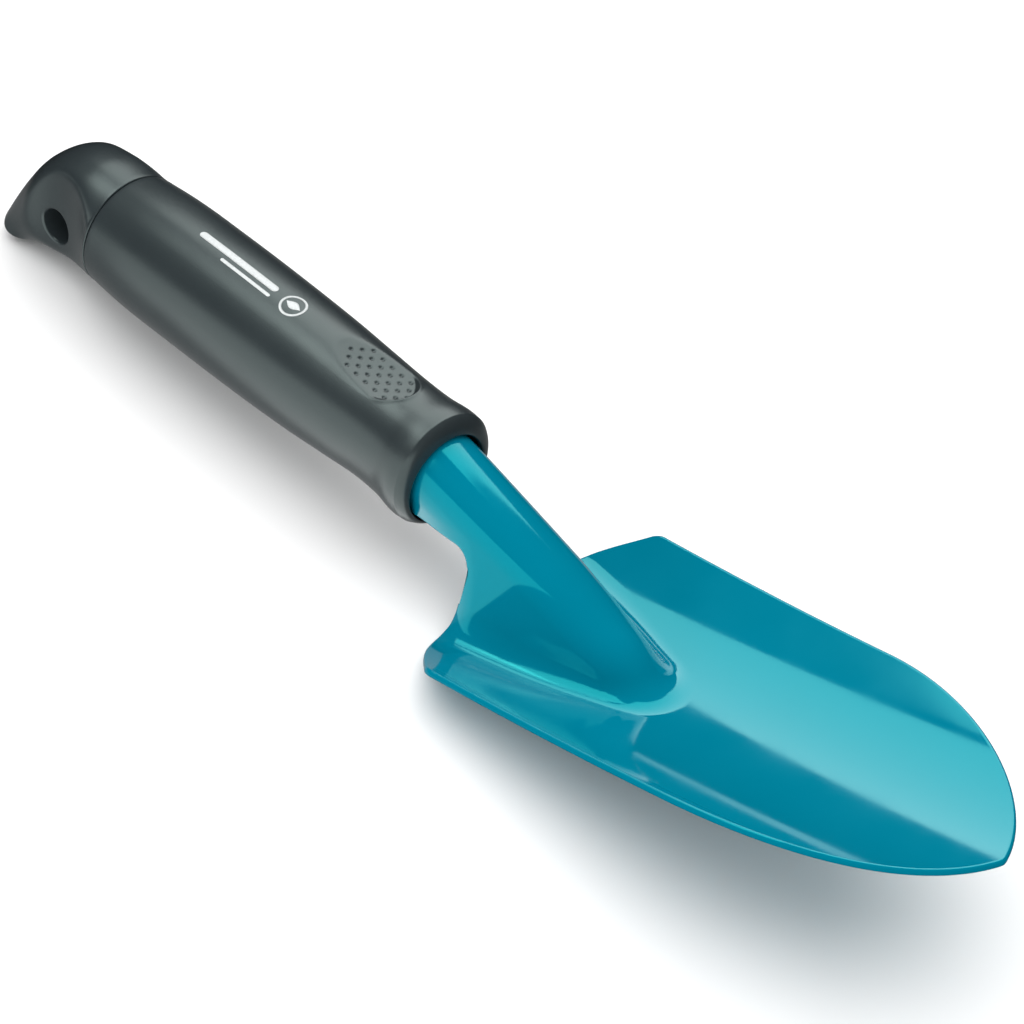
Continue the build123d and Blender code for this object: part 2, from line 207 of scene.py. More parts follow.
# ---- printed mark: a leaf in a ring, and two bars ----
MARK_SIDE = -1.5               # its middle, round the grip from the top
MARK_TOP = 0.06                # how far the ink stands above the grip, and how deep it is rooted
MARK_ROOT = 0.10
MARK_RING = (58.2, 3.1, 3.8)   # where along the grip, inner and outer radius
MARK_LEAF = (55.6, 60.8, 1.35)   # start, end and half width
MARK_BARS = ((65.0, 95.0, 0.6, 1.1), (65.0, 84.0, -2.2, 0.5))   # start, end, side, half width
LEAF_POWER = 1.2               # 1 is a round leaf, more is more pointed
INK_ROWS = 41
INK_COLUMNS = 5

# ---- colours and gloss ----
COAT_COLOR = (0.0, 0.179, 0.268)
COAT_DARK = (0.0, 0.170, 0.254)
COAT_TINT = (0.05, 1.0, 0.86)
COAT_ROUGHNESS = 0.075
COAT_IOR = 1.6
GRIP_COLOR = (0.023, 0.030, 0.033)
GRIP_DARK = (0.020, 0.026, 0.029)
CORE_COLOR = (0.020, 0.024, 0.026)
CORE_DARK = (0.015, 0.018, 0.020)
PLASTIC_TINT = (0.82, 1.0, 0.95)
PLASTIC_ROUGHNESS = 0.31
INK_COLOR = (0.62, 0.65, 0.65)
INK_WORN = (0.42, 0.45, 0.45)
INK_ROUGHNESS = 0.45
FLOOR_COLOR = (0.9, 0.9, 0.9)
FLOOR_DARK = (0.89, 0.89, 0.89)
FLOOR_ROUGHNESS = 0.7
NOISE_RANGE = (0.3, 0.7)       # nearly all of a noise's values lie between these

# ---- light and camera: metres from the tool frame's origin, along the row frame's axes ----
# Each light: name, place, facing (turn, rise, roll), width and height, radiance, and whether it
# shows in the "gloss", as a reflector card does, or lights the "shade", as a big soft source does
SOFTBOXES = (
    ("far_side", (-0.2597, 0.4472, 0.5535), (187.1, 19.8, -6.2), (0.809, 0.639), 3.9, "gloss"),
    ("overhead", (-0.3764, -0.37, 0.9499), (-172.3, 1.6, 15.4), (0.785, 0.599), 4.2, "gloss"),
    ("near_side", (-0.4471, -0.3559, 0.0411), (-54.0, -21.8, -6.7), (1.094, 0.179), 2.0, "gloss"),
    ("over_handle", (-0.3144, -0.049, 0.3899), (-90.0, 82.0, 0.0), (0.175, 0.175), 4.0, "gloss"),
    ("under_handle", (-0.1164, -0.02, -0.0051), (0.0, -90.0, 0.0), (0.26, 0.24), 0.35, "gloss"),
    ("key", (-0.15, 0.1, 1.1), (146.0, 80.0, 0.0), (2.2, 2.2), 1.45, "shade"),
    ("fill", (0.02, -0.55, 0.12), (-90.0, 12.0, 0.0), (0.5, 0.25), 2.2, "shade"),
)
WORLD_STRENGTH = 0.64
FLOOR_HALF = 6.0
CAMERA_DISTANCE = 1.1414
CAMERA_TURN = radians(41.22)   # round the object, from looking along +Y
CAMERA_RISE = radians(42.34)
CAMERA_ROLL = radians(8.31)
CAMERA_AIM = (-0.0106, -0.0059, 0.0376)
LENS = 163.34
SENSOR_WIDTH = 36.0

# ---- solving ----
NEWTON_EASE = 0.8              # share of each Newton step that is taken
LEAST_GRADE = 0.2              # keeps a step short where the surface is hardly tilted in its section


# ---------------------------------------------------------------- mesh helpers

def to_row(points):
    """Tool frame millimetres to row frame metres, apart from the shift that find_shift() gives."""
    x, y, z = np.asarray(points, float).T
    c = cos(REST_PITCH)
    s = sin(REST_PITCH)
    return np.column_stack((c * x - s * z, y, s * x + c * z)) * MM


def from_handle(a, y, u):
    """Handle frame to tool frame."""
    c = cos(HANDLE_ANGLE)
    s = sin(HANDLE_ANGLE)
    a, y, u = np.broadcast_arrays(a, y, u)
    return np.stack((COLLAR[0] - a * c + u * s, y, COLLAR[1] + a * s + u * c), -1)


def find_shift():
    """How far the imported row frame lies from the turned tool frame, read from the hang hole's mount."""
    hole = next(mount for mount in frame["record"]["mounts"] if mount["name"] == "hang_hole")
    here = to_row(from_handle(SEAM + HANG_HOLE[0], 0.0, HANG_HOLE[1])[None, :])[0]
    return np.array(hole["pos_m"]) - here


def new_piece(name, points, faces, material, replaces=None, normals=None):
    """A smooth mesh from tool frame points, placed in the row frame and riding on the one body."""
    mesh = bpy.data.meshes.new(name)
    mesh.from_pydata((to_row(points) + SHIFT).tolist(), [], faces)
    mesh.validate()
    mesh.polygons.foreach_set("use_smooth", [True] * len(mesh.polygons))
    if normals is not None:
        turned = to_row(normals)
        turned /= np.linalg.norm(turned, axis=1, keepdims=True)
        mesh.normals_split_custom_set_from_vertices(turned.tolist())
    mesh.materials.append(material)
    piece = bpy.data.objects.new(name, mesh)
    bpy.context.scene.collection.objects.link(piece)
    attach(piece, "root")
    if replaces:
        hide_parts(replaces)
    return piece


def grid_faces(rows, columns, start=0, wrap=False, flip=False):
    """Quads of a grid of vertices, numbered row by row."""
    faces = []
    for i in range(rows - 1):
        for j in range(columns if wrap else columns - 1):
            k = (j + 1) % columns
            face = (start + i * columns + j, start + i * columns + k,
                    start + (i + 1) * columns + k, start + (i + 1) * columns + j)
            faces.append(face[::-1] if flip else face)
    return faces


def grid_edge(rows, columns):
    """Places (row, column) once round a grid's edge."""
    down = [(i, 0) for i in range(rows)]
    along = [(rows - 1, j) for j in range(1, columns)]
    up = [(i, columns - 1) for i in range(rows - 2, -1, -1)]
    back = [(0, j) for j in range(columns - 2, 0, -1)]
    return down + along + up + back


def join_rings(rings, flip=False):
    """Quads from each closed ring of vertex numbers to the next."""
    faces = []
    for one, two in zip(rings, rings[1:]):
        for k in range(len(one)):
            n = (k + 1) % len(one)
            face = (one[k], two[k], two[n], one[n])
            faces.append((one[k], one[n], two[n], two[k]) if flip else face)
    return faces


def smooth_step(t):
    t = np.clip(t, 0, 1)
    return t * t * (3 - 2 * t)


def changed(x, span):
    """0 before a span along X and 1 after it, with a smooth change between."""
    start, length = span
    return smooth_step((x - start) / length)


# ---------------------------------------------------------------- scoop surface

def ramp(t, softness):
    """0 well before t = 0, t well after it, with a soft bend between."""
    return 0.5 * (t + np.hypot(t, softness))


def ramp_slope(t, softness):
    return 0.5 * (1 + t / np.hypot(t, softness))


def ridge_axis(x):
    """Height and slope of the arch's axis."""
    first = RIDGE_SLOPE - SLOPE
    second = NOSE_SLOPE - RIDGE_SLOPE
    bend = ramp(x - BEND_X, BEND_SOFTNESS) - ramp(NECK_X - BEND_X, BEND_SOFTNESS)
    nose = ramp(x - NOSE_BEND_X, NOSE_BEND_SOFTNESS) - ramp(NECK_X - NOSE_BEND_X, NOSE_BEND_SOFTNESS)
    height = NECK_Z - SLOPE * (x - NECK_X) - first * bend - second * nose
    slope = (-SLOPE - first * ramp_slope(x - BEND_X, BEND_SOFTNESS)
             - second * ramp_slope(x - NOSE_BEND_X, NOSE_BEND_SOFTNESS))
    return height, slope


def arch_radius(x):
    return (NECK_RADIUS + (RIDGE_RADIUS - NECK_RADIUS) * changed(x, NECK_TO_RIDGE)
            + (NOSE_RADIUS - RIDGE_RADIUS) * changed(x, RIDGE_TO_NOSE))


def wall_splay(x):
    return np.radians(NECK_SPLAY + (WALL_SPLAY - NECK_SPLAY) * changed(x, WALL_FLARE)
                      + (NOSE_SPLAY - WALL_SPLAY) * changed(x, NOSE_FLARE))


def trough_height(x, y):
    inside = np.maximum(TROUGH_RADIUS ** 2 - y * y, 1)
    return TROUGH_LIFT * np.maximum(x, 0) ** 2 + TROUGH_RADIUS - np.sqrt(inside)


def above_sheet(x, y, z):
    """Signed distance to the sheet's upper face: the arch and the trough with a fillet between them."""
    axis_z, slope = ridge_axis(x)
    up = (z - axis_z) / np.hypot(1, slope)
    radius = arch_radius(x)
    splay = wall_splay(x)
    wall = y * np.cos(splay) + up * np.sin(splay) - radius
    arch = np.where(np.arctan2(up, y) > splay, np.hypot(y, up) - radius, wall)
    trough = (z - trough_height(x, y)) * np.sqrt(np.maximum(1 - (y / TROUGH_RADIUS) ** 2, 0.01))
    blend = REAR_BLEND + (NOSE_BLEND - REAR_BLEND) * changed(x, BLEND_CHANGE)
    near = np.maximum(blend - np.abs(arch - trough), 0) / blend
    return np.minimum(arch, trough) - near * near * blend / 4


def sheet_normal(x, y, z, step=1e-3):
    """Gradient of above_sheet as three arrays; it points up and out of the upper face."""
    return (
        (above_sheet(x + step, y, z) - above_sheet(x - step, y, z)) / (2 * step),
        (above_sheet(x, y + step, z) - above_sheet(x, np.abs(y - step), z)) / (2 * step),
        (above_sheet(x, y, z + step) - above_sheet(x, y, z - step)) / (2 * step),
    )


def settle(x, y, z, rounds):
    """Moves points of cross sections onto the upper face."""
    for _ in range(rounds):
        _, ny, nz = sheet_normal(x, y, z)
        move = NEWTON_EASE * above_sheet(x, y, z) / np.maximum(ny ** 2 + nz ** 2, LEAST_GRADE)
        y = np.maximum(y - move * ny, 0)
        z = z - move * nz
    return y, z


class Sections:
    """The upper face as a table: stations along X, and steps along the cross section from the centre."""
    STATION = 1.0
    STEP = 0.25
    ARCH_POINTS = 90
    WING_POINTS = 50
    # first guess of the ridge's half width at its foot: at the neck, the rear of the blade and the nose
    NECK_FOOT = 11.5
    REAR_FOOT = 22.5
    NOSE_FOOT = 7.0
    TO_REAR = (-30.0, 20.0)
    TO_NOSE = (-10.0, 52.0)

    def __init__(self):
        self.x = np.arange(TANG_END_X - 2, BLADE_LENGTH + 3, self.STATION)
        x = self.x[:, None]
        axis_z, slope = ridge_axis(x)
        top = np.maximum(axis_z + arch_radius(x) * np.hypot(1, slope), trough_height(x, 0))
        base = self.NECK_FOOT + (self.REAR_FOOT - self.NECK_FOOT) * changed(x, self.TO_REAR)
        base = base - (base - self.NOSE_FOOT) * changed(x, self.TO_NOSE)
        foot = trough_height(x, base)
        turn = np.linspace(0, pi / 2, self.ARCH_POINTS)[None, :]
        wing_y = base + (SHEET_REACH - base) * np.linspace(0.02, 1, self.WING_POINTS)[None, :]
        y = np.hstack((base * np.sin(turn), wing_y))
        z = np.hstack((foot + (top - foot) * np.cos(turn), trough_height(x, wing_y)))
        y, z = settle(np.broadcast_to(x, y.shape), y, z, 30)
        run = np.hypot(np.diff(y), np.diff(z)).cumsum(1)
        run = np.hstack((np.zeros((len(run), 1)), run))
        self.run = np.arange(0, run[:, -1].max(), self.STEP)
        self.y = np.array([np.interp(self.run, r, line) for r, line in zip(run, y)])
        self.z = np.array([np.interp(self.run, r, line) for r, line in zip(run, z)])

    def row(self, x):
        """The (y, z) line of the section at one x."""
        i = min(max(int((x - self.x[0]) / self.STATION), 0), len(self.x) - 2)
        t = (x - self.x[i]) / self.STATION
        return self.y[i] * (1 - t) + self.y[i + 1] * t, self.z[i] * (1 - t) + self.z[i + 1] * t

    def run_at_y(self, x, y):
        return float(np.interp(y, self.row(x)[0], self.run))

    def run_at_z(self, x, z):
        line = self.row(x)[1]
        low = int(np.argmin(line)) + 1
        return float(np.interp(-z, -line[:low], self.run[:low]))

    def points(self, x, run):
        """Points of the upper face at stations x and distances run from the centre."""
        i = np.clip(((x - self.x[0]) / self.STATION).astype(int), 0, len(self.x) - 2)
        j = np.clip((run / self.STEP).astype(int), 0, len(self.run) - 2)
        s = (x - self.x[i]) / self.STATION
        t = run / self.STEP - j
        y, z = [(table[i, j] * (1 - t) + table[i, j + 1] * t) * (1 - s)
                + (table[i + 1, j] * (1 - t) + table[i + 1, j + 1] * t) * s for table in (self.y, self.z)]
        return settle(x, y, z, 6)


# ---------------------------------------------------------------- scoop outline

def bezier(a, b, c, d, count):
    t = np.linspace(0, 1, count)[:, None]
    a, b, c, d = [np.array(p, float) for p in (a, b, c, d)]
    return (1 - t) ** 3 * a + 3 * (1 - t) ** 2 * t * b + 3 * (1 - t) * t ** 2 * c + t ** 3 * d


def inset(points, distance):
    """A flat line moved to its right-hand side by a distance."""
    along = np.gradient(points, axis=0)
    along /= np.linalg.norm(along, axis=1, keepdims=True)
    return points + distance * np.column_stack((along[:, 1], -along[:, 0]))


def tang_line():
    """Side view (x, z) of the tang's free edge, from its end to the neck."""
    x = np.linspace(TANG_END_X, TANG_FRONT_X, 40)
    return np.column_stack((x, ridge_axis(x)[0] - TANG_LEG))


def throat_line():
    """Side view (x, z) of the free edge under the neck, from the collar to the wing."""
    top = np.array(THROAT_TOP)
    corner = np.array(THROAT_CORNER)
    foot = np.array(THROAT_FOOT)
    back = (top - corner) / np.linalg.norm(top - corner)
    down = (foot - corner) / np.linalg.norm(foot - corner)
    half = math.acos(float(back @ down)) / 2
    reach = THROAT_RADIUS / tan(half)
    middle = corner + (back + down) / np.linalg.norm(back + down) * THROAT_RADIUS / sin(half)
    start = corner + back * reach - middle
    end = corner + down * reach - middle
    turn = np.linspace(math.atan2(start[1], start[0]), math.atan2(end[1], end[0]), 24)
    arc = middle + THROAT_RADIUS * np.column_stack((np.cos(turn), np.sin(turn)))
    lead = np.linspace(top, arc[0], 20, endpoint=False)
    low = corner + down * (corner[1] - THROAT_LOW) / -down[1]
    tail = np.linspace(arc[-1], low, 12)[1:]
    return np.vstack((lead, arc, tail))


def side_direction():
    """Plan view of the wing's corner and the shoulder, and the direction from one to the other."""
    corner = np.array((WING_CORNER_X, BLADE_HALF_WIDTH))
    shoulder = np.array((SHOULDER_X, SHOULDER_HALF_WIDTH))
    return corner, shoulder, (shoulder - corner) / np.linalg.norm(shoulder - corner)


def wing_line():
    """Plan view (x, y) of the wing's rear edge and rounded corner."""
    corner, _, along = side_direction()
    edge = np.array((cos(WING_EDGE_ANGLE), sin(WING_EDGE_ANGLE)))
    back = WING_CORNER_RADIUS * tan(WING_EDGE_ANGLE / 2)
    root = np.array(WING_ROOT)
    end = corner - edge * back
    span = np.linalg.norm(end - root) / 3
    rear = bezier(root, root + (0, span), end - edge * span, end, 40)
    bend = bezier(end, end + edge * back / 2, corner + along * back / 2, corner + along * back, 16)[1:]
    return np.vstack((rear, bend))


def side_line():
    """Plan view of the side and the tip."""
    corner, shoulder, along = side_direction()
    tip = np.array((BLADE_LENGTH, 0.0))
    start = corner + along * WING_CORNER_RADIUS * tan(WING_EDGE_ANGLE / 2)
    toward_side = np.array((-cos(TIP_HALF_ANGLE), sin(TIP_HALF_ANGLE)))
    pull = SIDE_PULL * (BLADE_LENGTH - SHOULDER_X)
    straight = np.linspace(start, shoulder, 60)[1:-1]
    curve = bezier(shoulder, shoulder + along * pull, tip + toward_side * TIP_PULL * SHOULDER_HALF_WIDTH,
                   tip, 200)
    arc_start = TIP_RADIUS * cos(TIP_HALF_ANGLE) + 0.3
    curve = curve[curve[:, 1] > arc_start]
    middle = BLADE_LENGTH - TIP_RADIUS / sin(TIP_HALF_ANGLE)
    turn = np.linspace(pi / 2 - TIP_HALF_ANGLE, 0.05, 10)
    arc = np.column_stack((middle + TIP_RADIUS * np.cos(turn), TIP_RADIUS * np.sin(turn)))
    return np.vstack((straight, curve, arc))


def resample(line, count):
    """count evenly spaced points of a line."""
    line = np.array(line)
    run = np.append(0, np.linalg.norm(np.diff(line, axis=0), axis=1).cumsum())
    at = np.linspace(0, run[-1], count)
    return np.column_stack([np.interp(at, run, column) for column in line.T])


def rim_path(table):
    """The free edge as (x, run) pairs from the tang's end to the tip, and where each line across starts."""
    tang = [(x, table.run_at_z(x, z)) for x, z in inset(tang_line(), -RIM_ROUND)]
    throat = [(x, table.run_at_z(x, z)) for x, z in inset(throat_line(), -RIM_ROUND)]
    wing = [(x, table.run_at_y(x, y * (1 - RIM_LEAN))) for x, y in inset(wing_line(), RIM_ROUND)]
    side = [(x, table.run_at_y(x, y * (1 - RIM_LEAN))) for x, y in inset(side_line(), RIM_ROUND)]
    apex = int(np.argmax([x for x, _ in throat]))
    # line, number of points, and where on the centre line the first and last line across start
    stretches = (
        (tang + throat[:1], 36, TANG_END_X, THROAT_TOP[0]),
        (throat[:apex + 1], 26, THROAT_TOP[0], FOLD_X),
        (throat[apex:] + wing[:1], 30, FOLD_X, WING_X),
        (wing, 40, WING_X, SIDE_X),
    )
    lines = [resample(line, count) for line, count, _, _ in stretches]
    starts = [np.linspace(first, last, count) for _, count, first, last in stretches]
    # along the side the lines across end up square to the centre line
    line = resample(wing[-1:] + side, 190)
    share = np.clip((line[:, 0] - line[0, 0]) / (line[-1, 0] - line[0, 0]), 0, 1)
    lines.append(line)
    starts.append(line[:, 0] + (SIDE_X - line[0, 0]) * (1 - share) ** 2)
    rim = np.vstack([lines[0]] + [line[1:] for line in lines[1:]])
    return rim, np.concatenate([starts[0]] + [start[1:] for start in starts[1:]])


# ---------------------------------------------------------------- scoop

def sheet_grid():
    """The upper face as a grid of points from rim to rim, and its normals."""
    table = Sections()
    rim, centre = rim_path(table)
    across = np.linspace(0, 1, SCOOP_COLUMNS)
    x = centre[:, None] + (rim[:, :1] - centre[:, None]) * across
    y, z = table.points(x, rim[:, 1:] * across)
    normal = np.stack(sheet_normal(x, y, z), -1)
    normal /= np.linalg.norm(normal, axis=2, keepdims=True)
    mirror = np.array((1, -1, 1))
    halves = (np.stack((x, y, z), -1), normal)
    return [np.concatenate((half[:, :0:-1] * mirror, half), 1) for half in halves]


def rim_lines(upper, up, edge):
    """Lines of points and normals round the sheet that round its rim, from the upper face down."""
    rows, columns = upper.shape[:2]
    i, j = np.array(edge).T
    at = upper[i, j]
    normal = up[i, j]
    out = np.cross(np.roll(at, -1, 0) - np.roll(at, 1, 0), normal)
    out /= np.linalg.norm(out, axis=1, keepdims=True)
    inner = upper[np.clip(i, 1, rows - 2), np.clip(j, 1, columns - 2)]
    out *= np.sign(np.sum(out * (at - inner), axis=1))[:, None]
    middle = at - normal * SHEET / 2
    power = 2 / RIM_EXPONENT
    lines = []
    for turn in np.linspace(pi / 2, -pi / 2, RIM_STEPS + 2)[1:-1]:
        c = cos(turn)
        s = sin(turn)
        rise = math.copysign(abs(s) ** power, s) * SHEET / 2
        slant = out * c ** (2 - power) / RIM_ROUND
        slant = slant + normal * math.copysign(abs(s) ** (2 - power), s) / (SHEET / 2)
        slant /= np.linalg.norm(slant, axis=1, keepdims=True)
        lines.append((middle + out * RIM_ROUND * c ** power + normal * rise, slant))
    return lines


def build_scoop(material):
    """The upper and lower face, and the rounded rim between them."""
    upper, up = sheet_grid()
    rows, columns = upper.shape[:2]
    count = rows * columns
    edge = grid_edge(rows, columns)
    lines = rim_lines(upper, up, edge)
    lower = upper - SHEET * up
    points = np.vstack([upper.reshape(-1, 3), lower.reshape(-1, 3)] + [line for line, _ in lines])
    normals = np.vstack([up.reshape(-1, 3), -up.reshape(-1, 3)] + [slant for _, slant in lines])
    rings = [[i * columns + j for i, j in edge]]
    for k in range(len(lines)):
        start = 2 * count + k * len(edge)
        rings.append(range(start, start + len(edge)))
    rings.append([count + index for index in rings[0]])
    faces = grid_faces(rows, columns, 0, flip=True) + grid_faces(rows, columns, count) + join_rings(rings)
    return new_piece("pressed_scoop", points, faces, material, "scoop", normals)


# ---------------------------------------------------------------- grip

def curve_through(at, table):
    """Smooth values at the positions at, through the rows (position, value, ...) of a table."""
    table = np.array(table, float)
    x = table[:, 0]
    values = table[:, 1:]
    slopes = np.gradient(values, x, axis=0)
    i = np.clip(np.searchsorted(x, at) - 1, 0, len(x) - 2)
    width = x[i + 1] - x[i]
    t = ((at - x[i]) / width)[:, None]
    width = width[:, None]
    return ((1 + 2 * t) * (1 - t) ** 2 * values[i] + t * (1 - t) ** 2 * width * slopes[i]
            + t * t * (3 - 2 * t) * values[i + 1] + t * t * (t - 1) * width * slopes[i + 1])


def graded(stops):
    """Positions from (end, spacing) stops: each stretch is divided into steps of about its spacing."""
    places = [stops[0][0]]
    for end, spacing in stops[1:]:
        steps = max(1, round((end - places[-1]) / spacing))
        places += list(np.linspace(places[-1], end, steps + 1)[1:])
    return np.array(places)


def dimple_centres():
    centres = []
    for column, count in enumerate(DIMPLE_COLUMNS):
        y = (column - (len(DIMPLE_COLUMNS) - 1) / 2) * DIMPLE_COLUMN_PITCH
        for i in range(count):
            centres.append((DIMPLE_MIDDLE + (i - (count - 1) / 2) * DIMPLE_PITCH, y))
    return centres


def with_pad(a, y, u):
    """Lowers the top of the grip to the thumb pad's dished floor and presses the dimples in."""
    on_top = u > PAD_LEAST_HEIGHT
    floor = PAD_FLOOR + (a - PAD_LOW) ** 2 / (2 * PAD_ARC) + y * y / (2 * PAD_CROSS_ARC)
    cut = ramp(u - floor, PAD_SOFTNESS)
    front = np.hypot((PAD_CENTRE - a) / PAD_HALF_LENGTH, y / PAD_HALF_WIDTH)
    edge = np.where(a < PAD_CENTRE, front, np.abs(y) / PAD_HALF_WIDTH)
    inside = smooth_step((1.0 - edge) / PAD_WALL) * smooth_step((PAD_REAR_END - a) / PAD_REAR_FADE)
    lip = PAD_LIP * np.exp(-((edge - 1.0) / PAD_LIP_WIDTH) ** 2)
    lip = lip * smooth_step((PAD_LIP_END - a) / PAD_LIP_FADE)
    lowered = u + (lip - cut * inside) * on_top
    for centre_a, centre_y in dimple_centres():
        reach = np.hypot(a - centre_a, y - centre_y) / DIMPLE_RADIUS
        lowered = lowered - DIMPLE_DEPTH * smooth_step(1.0 - reach) * on_top
    return lowered


def collar_rings():
    """Rings (A, radius, drop) of the neck hole, its rounded lip, the front face and its crease."""
    rings = [(a, NECK_HOLE_RADIUS, NECK_HOLE_DROP - NECK_HOLE_RISE * a)
             for a in np.linspace(NECK_HOLE_DEPTH, NECK_HOLE_FRONT, 8)]
    for part in np.linspace(0, 1, EDGE_STEPS)[1:]:
        angle = part * pi / 2
        rings.append((LIP_LENGTH * (1 - sin(angle)), COLLAR_LIP - LIP_WIDTH * cos(angle),
                      NECK_HOLE_DROP - LIP_RISE * part))
    side_radius, side_drop = GRIP_SECTIONS[0][1:]
    face_drop = NECK_HOLE_DROP - LIP_RISE
    for part in np.linspace(0, 1, 14)[1:]:
        angle = part * FACE_ARC
        rings.append((
            (COLLAR_FACE - CREASE_BACK) * (1 - cos(angle)) / (1 - cos(FACE_ARC)),
            COLLAR_LIP + (side_radius - CREASE_INSIDE - COLLAR_LIP) * sin(angle) / sin(FACE_ARC),
            side_drop + (face_drop - side_drop) * (1 - part) ** FACE_DROP_POWER,
        ))
    return rings + [(COLLAR_FACE + past, side_radius + outside, side_drop) for past, outside in CREASE_RINGS]


def side_rings(end):
    """Rings of the grip's side, from the crease to the rear edge."""
    places = graded((*GRIP_STEPS, (end - 1, GRIP_REAR_STEP)))
    return [(a, radius, drop) for a, (radius, drop) in zip(places, curve_through(places, GRIP_SECTIONS))]


def rear_rings(end):
    """Rings of the rounded rear edge and of the seam's groove."""
    radius, drop = curve_through(np.array([end]), GRIP_SECTIONS)[0]
    rings = [(end - EDGE_ROUND * (1 - sin(angle)), radius - EDGE_ROUND * (1 - cos(angle)), drop)
             for angle in np.linspace(0, pi / 2, EDGE_STEPS)]
    return rings + [(end, radius - SEAM_DEPTH, drop)]


def build_grip(material):
    """One skin: neck hole, rounded front face, crease, side with the thumb pad, and the rear edge."""
    fine = np.linspace(-PAD_COLUMNS, PAD_COLUMNS, 76)
    coarse = np.linspace(PAD_COLUMNS, 360 - PAD_COLUMNS, 99)[1:-1]
    turn = np.radians(np.concatenate((fine, coarse)))
    end = SEAM - SEAM_GAP
    rings = np.array(collar_rings() + side_rings(end) + rear_rings(end))
    a = np.repeat(rings[:, :1], len(turn), 1)
    y = rings[:, 1:2] * np.sin(turn)
    u = rings[:, 1:2] * np.cos(turn) - rings[:, 2:]
    behind_crease = a > COLLAR_FACE + 0.5
    u = np.where(behind_crease, with_pad(a, y, u), u)
    points = from_handle(a, y, u).reshape(-1, 3)
    faces = grid_faces(len(rings), len(turn), wrap=True, flip=True)
    return new_piece("soft_grip", points, faces, material, "grip_sleeve")


# ---------------------------------------------------------------- printed mark

def above_grip(a, side, height):
    """Points at a height above the grip's skin; side is measured round it from the top."""
    radius, drop = curve_through(a.ravel(), GRIP_SECTIONS).T.reshape(2, *a.shape)
    turn = side / radius
    return from_handle(a, (radius + height) * np.sin(turn), (radius + height) * np.cos(turn) - drop)


def ink(a, side, wrap=False):
    """A thin closed slab of ink over a grid of places on the grip, as points and faces."""
    rows, columns = a.shape
    count = rows * columns
    points = np.vstack((above_grip(a, side, MARK_TOP).reshape(-1, 3),
                        above_grip(a, side, -MARK_ROOT).reshape(-1, 3)))
    faces = grid_faces(rows, columns, 0, wrap) + grid_faces(rows, columns, count, wrap, flip=True)
    if wrap:
        edges = [range(columns - 1, -1, -1), range(count - columns, count)]
    else:
        edges = [[i * columns + j for i, j in grid_edge(rows, columns)]]
    for edge in edges:
        faces += join_rings([edge, [count + index for index in edge]])
    return points, faces


def ring(middle, inner, outer):
    """Places on the grip of a flat ring, as a grid from the inner circle to the outer."""
    radius, turn = np.meshgrid(np.linspace(inner, outer, 3), np.linspace(0, 2 * pi, 72, endpoint=False),
                               indexing="ij")
    return middle + radius * np.cos(turn), MARK_SIDE + radius * np.sin(turn)


def strip(start, end, half_width, side=0.0, rounded=True):
    """Places on the grip of a bar with round ends, or of a pointed leaf."""
    blunt = 0.04
    share = (1 - np.cos(np.linspace(blunt, pi - blunt, INK_ROWS))) / 2
    along = start + (end - start) * share
    if rounded:
        inside = np.minimum(np.minimum(along - start, end - along) / half_width, 1.0)
        half = half_width * np.sqrt(1 - (1 - inside) ** 2)
    else:
        half = half_width * np.sin(pi * share) ** LEAF_POWER
    across = np.linspace(-1, 1, INK_COLUMNS)
    return np.repeat(along[:, None], INK_COLUMNS, 1), MARK_SIDE + side + half[:, None] * across


def build_mark(material):
    start, end, half_width = MARK_LEAF
    shapes = [ink(*ring(*MARK_RING), wrap=True), ink(*strip(start, end, half_width, rounded=False))]
    shapes += [ink(*strip(start, end, half_width, side)) for start, end, side, half_width in MARK_BARS]
    points = []
    faces = []
    for some, some_faces in shapes:
        faces += [tuple(len(points) + v for v in face) for face in some_faces]
        points += some.tolist()
    return new_piece("printed_mark", points, faces, material)


# ---------------------------------------------------------------- end cap

def cap_skin(t, turn):
    """Points (A, Y, U) of the cap's skin at shares t along the sections and angles round them."""
    table = [(k / (len(CAP_SECTIONS) - 1), top[0], top[1], low[0], low[1], half)
             for k, (top, low, half) in enumerate(CAP_SECTIONS)]
    top_a, top_u, low_a, low_u, half = curve_through(t.ravel(), table).T.reshape(5, *t.shape)
    closing = np.clip((t - CAP_CLOSE) / (1 - CAP_CLOSE), 0, 1)
    size = np.sqrt(np.maximum(1 - closing ** CAP_CLOSE_POWER, 0))
    along = np.cos(turn) * size / 2
    a = (top_a + low_a) / 2 + (top_a - low_a) * along
    u = (top_u + low_u) / 2 + (top_u - low_u) * along
    y = half * np.sin(turn) * size
    # the scallops on both sides; their arc is held short of its ends
    away = np.minimum((a - SCALLOP_A) ** 2, 0.9 * SCALLOP_RADIUS ** 2)
    waist = SCALLOP_WAIST + SCALLOP_RADIUS - np.sqrt(SCALLOP_RADIUS ** 2 - away)
    over = ramp(np.abs(y) - waist, SCALLOP_SOFTNESS)
    return a, np.sign(y) * (np.abs(y) - over), u


